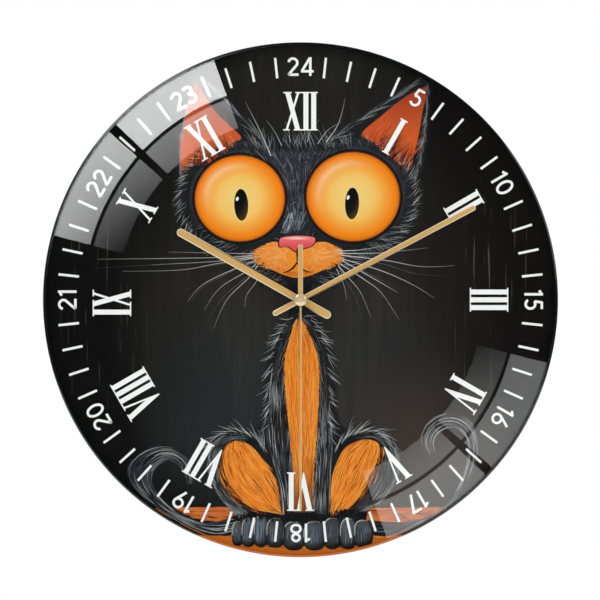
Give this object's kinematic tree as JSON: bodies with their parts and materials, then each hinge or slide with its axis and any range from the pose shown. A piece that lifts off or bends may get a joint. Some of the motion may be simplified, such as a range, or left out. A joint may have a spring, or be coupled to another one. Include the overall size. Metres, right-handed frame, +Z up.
{
  "type": "wall clock",
  "caption": "Round frameless glass wall clock with a cat picture printed behind the glass, slim hour, minute and second hands, and a battery quartz movement on its back.",
  "frame": {"origin": "the point of the hand axis on the rear face of the movement's back cover, which lies on the wall", "axes": "+Y from the dial into the wall along the hand axis, +Z up towards twelve, +X to the viewer's right"},
  "size_m": [0.3, 0.0352, 0.3],
  "materials": {
    "dial_glass": "clear polished float glass with a ground and polished rim",
    "dial_print": "ink layers printed on the back of the glass",
    "brushed_gold": "satin gold anodised sheet with bright edges",
    "gold_cap": "polished pale gold dome",
    "black_plastic": "fine moulded grain",
    "black_metal": "satin black",
    "brass_turned": "turned",
    "plated_steel": "zinc plated sheet",
    "white_plastic": "moulded acetal",
    "amber_plastic": "moulded nylon",
    "copper_wire": "enamelled winding",
    "magnet": "sintered",
    "circuit_board": "green lacquer",
    "foam": "closed cell foam and rubber",
    "cell_wrap": "printed sleeve over a can, plain with no lettering"
  },
  "bodies": {
    "clock_body": {"glass_dial": "dial_glass", "print_film": "dial_print", "wall_pad_left": "foam", "wall_pad_right": "foam", "case_front": "black_plastic", "back_cover": "black_plastic", "gear_bridge": "brass_turned", "threaded_bush": "brass_turned", "ring_nut": "black_metal", "front_washer": "black_plastic", "rubber_gasket": "foam", "hanger_plate": "plated_steel", "coil_bobbin": "amber_plastic", "coil_winding": "copper_wire", "coil_core": "plated_steel", "stator_plate": "plated_steel", "circuit_board": "circuit_board", "control_chip": "black_plastic", "quartz_crystal": "plated_steel", "positive_contact": "plated_steel", "negative_contact": "plated_steel"},
    "seconds": {"second_wheel": "white_plastic", "second_hand": "brushed_gold", "second_collet": "brass_turned", "second_hand_cap": "gold_cap"},
    "rotor": {"rotor_magnet": "magnet", "rotor_pinion": "white_plastic"},
    "intermediate": {"intermediate_wheel": "white_plastic"},
    "third": {"third_wheel": "white_plastic"},
    "centre": {"centre_wheel": "white_plastic"},
    "minutes": {"cannon_pinion": "brass_turned", "clutch_spring": "plated_steel", "minute_hand": "brushed_gold", "minute_collet": "brass_turned"},
    "motion": {"motion_wheel": "white_plastic"},
    "hours": {"hour_wheel": "white_plastic", "hour_hand": "brushed_gold", "hour_collet": "brass_turned"},
    "knob": {"setting_knob": "white_plastic"},
    "battery": {"battery_cell": "cell_wrap"}
  },
  "joints": [
    {"name": "second_spin", "type": "hinge", "parent": "clock_body", "child": "seconds", "pos_m": [0, 0, 0], "axis": [0, 1, 0], "continuous": true},
    {"name": "rotor_spin", "type": "hinge", "parent": "clock_body", "child": "rotor", "pos_m": [0.01385, 0, -0.00413], "axis": [0, 1, 0], "continuous": true},
    {"name": "intermediate_spin", "type": "hinge", "parent": "clock_body", "child": "intermediate", "pos_m": [0.00947, 0, 0.00345], "axis": [0, 1, 0], "continuous": true},
    {"name": "third_spin", "type": "hinge", "parent": "clock_body", "child": "third", "pos_m": [-0.00958, 0, -0.00349], "axis": [0, 1, 0], "continuous": true},
    {"name": "centre_spin", "type": "hinge", "parent": "clock_body", "child": "centre", "pos_m": [0, 0, 0], "axis": [0, 1, 0], "continuous": true},
    {"name": "minute_spin", "type": "hinge", "parent": "clock_body", "child": "minutes", "pos_m": [0, 0, 0], "axis": [0, 1, 0], "continuous": true},
    {"name": "motion_spin", "type": "hinge", "parent": "clock_body", "child": "motion", "pos_m": [-0.0048, 0, 0.00831], "axis": [0, 1, 0], "continuous": true},
    {"name": "hour_spin", "type": "hinge", "parent": "clock_body", "child": "hours", "pos_m": [0, 0, 0], "axis": [0, 1, 0], "continuous": true},
    {"name": "knob_spin", "type": "hinge", "parent": "clock_body", "child": "knob", "pos_m": [-0.01311, 0, 0.01311], "axis": [0, 1, 0], "continuous": true},
    {"name": "battery_lift", "type": "slide", "parent": "clock_body", "child": "battery", "axis": [0, 1, 0], "range_m": [0, 0.02]}
  ],
  "couplings": [
    {"joint": "rotor_spin", "follows": "second_spin", "ratio": 30},
    {"joint": "intermediate_spin", "follows": "second_spin", "ratio": -5},
    {"joint": "third_spin", "follows": "second_spin", "ratio": -0.13333},
    {"joint": "centre_spin", "follows": "second_spin", "ratio": 0.016667},
    {"joint": "motion_spin", "follows": "minute_spin", "ratio": -0.33333},
    {"joint": "hour_spin", "follows": "minute_spin", "ratio": 0.083333},
    {"joint": "knob_spin", "follows": "minute_spin", "ratio": 1}
  ]
}
